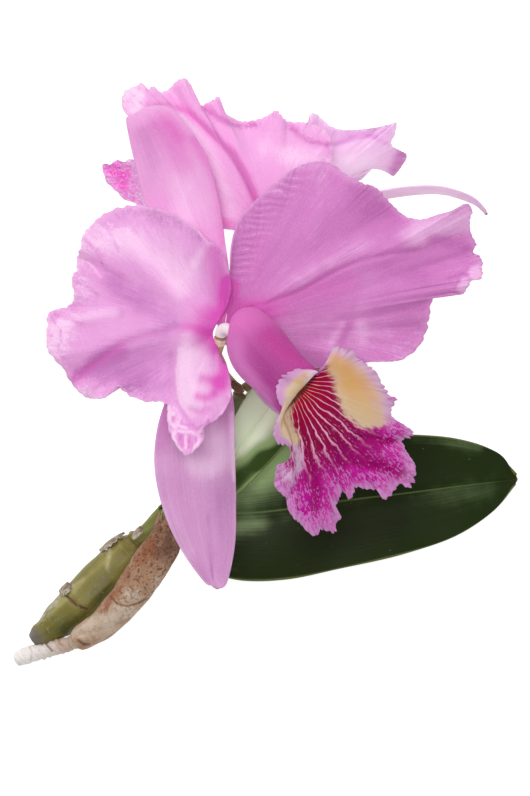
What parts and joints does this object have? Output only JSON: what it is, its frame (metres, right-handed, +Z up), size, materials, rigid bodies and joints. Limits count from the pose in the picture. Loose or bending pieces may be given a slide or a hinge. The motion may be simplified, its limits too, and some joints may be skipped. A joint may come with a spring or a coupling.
{
  "type": "cattleya orchid division in bloom",
  "caption": "Cut cattleya orchid lying down: ruffled lilac-pink blooms with a frilled magenta and yellow lip, glossy leaves, pseudobulbs in dry sheath and a piece of rhizome.",
  "frame": {"origin": "middle of the box round the whole plant, on the surface that it lies on", "axes": "+Z up from the surface, +Y from the rhizome towards the blooms, +X towards the tip of the long leaf"},
  "size_m": [0.1988, 0.2304, 0.11],
  "materials": {
    "petal": "soft crystalline petal skin",
    "sepal": "soft crystalline sepal skin",
    "lip": "velvety, striped and mottled",
    "column": "waxy",
    "stalk": "waxy",
    "stem": "smooth plant skin",
    "leaf": "glossy and leathery",
    "bulb": "smooth plant skin",
    "dry_husk": "dry and papery",
    "rhizome": "dry and fibrous"
  },
  "bodies": {
    "root": {"front_left_petal": "petal", "front_right_petal": "petal", "front_dorsal_sepal": "sepal", "front_left_sepal": "sepal", "front_right_sepal": "sepal", "front_lip": "lip", "front_column": "column", "front_ovary": "stalk", "back_upper_petal": "petal", "back_right_petal": "petal", "back_side_sepal": "sepal", "back_low_sepal": "sepal", "back_top_sepal": "sepal", "back_lip": "lip", "back_column": "column", "back_ovary": "stalk", "flower_stem": "stem", "flower_bract": "dry_husk", "long_leaf": "leaf", "short_leaf": "leaf", "green_pseudobulb": "bulb", "sheathed_pseudobulb": "bulb", "dry_sheath": "dry_husk", "torn_sheath_flap": "dry_husk", "green_bulb_upper_paper": "dry_husk", "green_bulb_lower_paper": "dry_husk", "rhizome": "rhizome"}
  },
  "joints": []
}
